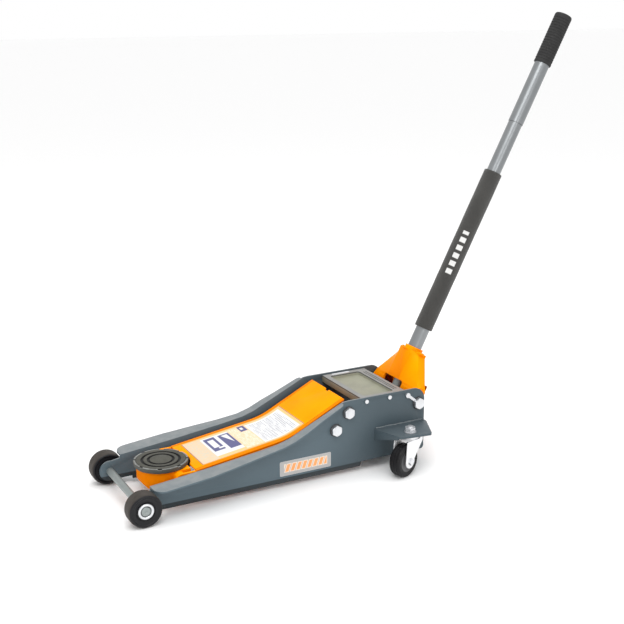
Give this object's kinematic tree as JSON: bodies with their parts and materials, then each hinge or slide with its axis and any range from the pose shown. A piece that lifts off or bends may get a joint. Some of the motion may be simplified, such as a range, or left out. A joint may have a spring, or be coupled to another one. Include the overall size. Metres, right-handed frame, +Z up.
{
  "type": "hydraulic trolley jack",
  "caption": "Low hydraulic trolley jack: side plates on rollers and rear casters, lift arm with level swivelling saddle, tool tray, and an upright pumping handle with a foam sleeve.",
  "frame": {"origin": "on the floor, below the middle of the whole jack's bounding box with the arm down and the handle upright", "axes": "+X forward, from the handle to the saddle; +Y to the jack's left; +Z up"},
  "size_m": [1.1354, 0.36, 0.9655],
  "materials": {
    "frame_paint": "satin powder coat",
    "arm_paint": "gloss",
    "rod_paint": "satin",
    "tray_paint": "satin",
    "wheel_paint": "satin black paint",
    "axle_steel": "satin",
    "zinc": "bright zinc plate",
    "unit_paint": "satin paint",
    "ram_chrome": "polished",
    "saddle_iron": "satin",
    "saddle_rubber": "matte",
    "spring_steel": "satin",
    "handle_steel": "satin chrome",
    "foam": "matte closed-cell foam",
    "grip_rubber": "matte",
    "caster_tyre": "matte"
  },
  "bodies": {
    "frame": {"side_plate_left": "frame_paint", "side_plate_right": "frame_paint", "front_axle": "axle_steel", "axle_cap_left": "zinc", "axle_cap_right": "zinc", "base_plate": "frame_paint", "tie_bar": "frame_paint", "spring_bar": "rod_paint", "tray": "tray_paint", "lift_pivot_bolt": "zinc", "rod_bolt_left": "zinc", "rod_bolt_right": "zinc", "socket_bolt_left": "zinc", "socket_bolt_right": "zinc", "small_screws": "zinc", "pump_body": "unit_paint", "cylinder": "unit_paint", "cylinder_cradle": "unit_paint", "caster_bracket_left": "frame_paint", "caster_bracket_right": "frame_paint", "caster_stud_left": "zinc", "caster_stud_right": "zinc", "return_spring_left": "spring_steel", "return_spring_right": "spring_steel"},
    "front_wheel_left": {"front_wheel_left": "wheel_paint"},
    "front_wheel_right": {"front_wheel_right": "wheel_paint"},
    "lift_arm": {"arm_cover": "arm_paint", "arm_cheek_left": "arm_paint", "arm_cheek_right": "arm_paint", "arm_hub": "arm_paint", "lift_roller": "axle_steel", "roller_pin": "axle_steel", "head_pin": "axle_steel"},
    "saddle_bracket": {"saddle_bracket": "arm_paint", "link_pin": "axle_steel"},
    "saddle": {"saddle": "saddle_iron", "saddle_pad": "saddle_rubber"},
    "levelling_rods": {"levelling_rod_left": "rod_paint", "levelling_rod_right": "rod_paint"},
    "ram": {"ram": "ram_chrome", "ram_head": "ram_chrome"},
    "pump_plunger": {"pump_plunger": "ram_chrome"},
    "release_valve": {"release_valve": "axle_steel"},
    "handle_socket": {"handle_socket": "arm_paint", "pump_roller": "axle_steel", "pump_roller_pin": "axle_steel"},
    "handle": {"handle_lower": "handle_steel", "drive_cup": "axle_steel", "foam_sleeve": "foam", "handle_upper": "handle_steel", "snap_button": "zinc", "end_grip": "grip_rubber"},
    "caster_yoke_left": {"caster_yoke_left": "zinc", "caster_axle_left": "zinc"},
    "caster_yoke_right": {"caster_yoke_right": "zinc", "caster_axle_right": "zinc"},
    "caster_wheel_left": {"caster_wheel_left": "caster_tyre"},
    "caster_wheel_right": {"caster_wheel_right": "caster_tyre"}
  },
  "joints": [
    {"name": "lift_arm_pivot", "type": "hinge", "parent": "frame", "child": "lift_arm", "pos_m": [0.05969, 0, 0.1425], "axis": [0, -1, 0], "range_deg": [0, 58], "deforming": ["return_spring_left", "return_spring_right"]},
    {"name": "saddle_levelling", "type": "hinge", "parent": "lift_arm", "child": "saddle_bracket", "pos_m": [0.43269, 0, 0.057], "axis": [0, -1, 0], "range_deg": [-58.5, 0.5]},
    {"name": "levelling_rod_swing", "type": "hinge", "parent": "frame", "child": "levelling_rods", "pos_m": [0.09069, 0, 0.1085], "axis": [0, -1, 0], "range_deg": [-0.5, 58.5]},
    {"name": "saddle_swivel", "type": "hinge", "parent": "saddle_bracket", "child": "saddle", "pos_m": [0.45119, 0, 0.0695], "axis": [0, 0, 1], "continuous": true},
    {"name": "ram_stroke", "type": "slide", "parent": "frame", "child": "ram", "axis": [1, 0, 0], "range_m": [-0.0005, 0.05674]},
    {"name": "handle_socket_pivot", "type": "hinge", "parent": "frame", "child": "handle_socket", "pos_m": [-0.11781, 0, 0.134], "axis": [0, -1, 0], "range_deg": [-12, 48]},
    {"name": "pump_stroke", "type": "slide", "parent": "frame", "child": "pump_plunger", "axis": [1, 0, 0], "range_m": [-0.0056, 0.0214]},
    {"name": "handle_twist", "type": "hinge", "parent": "handle_socket", "child": "handle", "pos_m": [-0.11781, 0, 0.134], "axis": [-0.4656, 0, 0.885], "range_deg": [0, 120]},
    {"name": "release_valve_turn", "type": "hinge", "parent": "frame", "child": "release_valve", "pos_m": [-0.11781, 0, 0.134], "axis": [-1, 0, 0], "range_deg": [-1, 121]},
    {"name": "front_wheel_left_spin", "type": "hinge", "parent": "frame", "child": "front_wheel_left", "pos_m": [0.53269, 0.1165, 0.035], "axis": [0, 1, 0], "continuous": true},
    {"name": "caster_left_swivel", "type": "hinge", "parent": "frame", "child": "caster_yoke_left", "pos_m": [-0.06531, 0.146, 0.084], "axis": [0, 0, 1], "range_deg": [-58, 190]},
    {"name": "caster_left_roll", "type": "hinge", "parent": "caster_yoke_left", "child": "caster_wheel_left", "pos_m": [-0.04399, 0.15462, 0.036], "axis": [-0.3746, 0.9272, 0], "continuous": true},
    {"name": "front_wheel_right_spin", "type": "hinge", "parent": "frame", "child": "front_wheel_right", "pos_m": [0.53269, -0.1165, 0.035], "axis": [0, 1, 0], "continuous": true},
    {"name": "caster_right_swivel", "type": "hinge", "parent": "frame", "child": "caster_yoke_right", "pos_m": [-0.06531, -0.146, 0.084], "axis": [0, 0, 1], "range_deg": [-190, 58]},
    {"name": "caster_right_roll", "type": "hinge", "parent": "caster_yoke_right", "child": "caster_wheel_right", "pos_m": [-0.04399, -0.15462, 0.036], "axis": [-0.3746, -0.9272, 0], "continuous": true}
  ],
  "couplings": [
    {"joint": "saddle_levelling", "follows": "lift_arm_pivot", "ratio": -1},
    {"joint": "levelling_rod_swing", "follows": "lift_arm_pivot", "ratio": 1},
    {"joint": "ram_stroke", "follows": "lift_arm_pivot", "m_per_rad": 0.055555},
    {"joint": "pump_stroke", "follows": "handle_socket_pivot", "m_per_rad": 0.024828},
    {"joint": "release_valve_turn", "follows": "handle_twist", "ratio": 1}
  ]
}
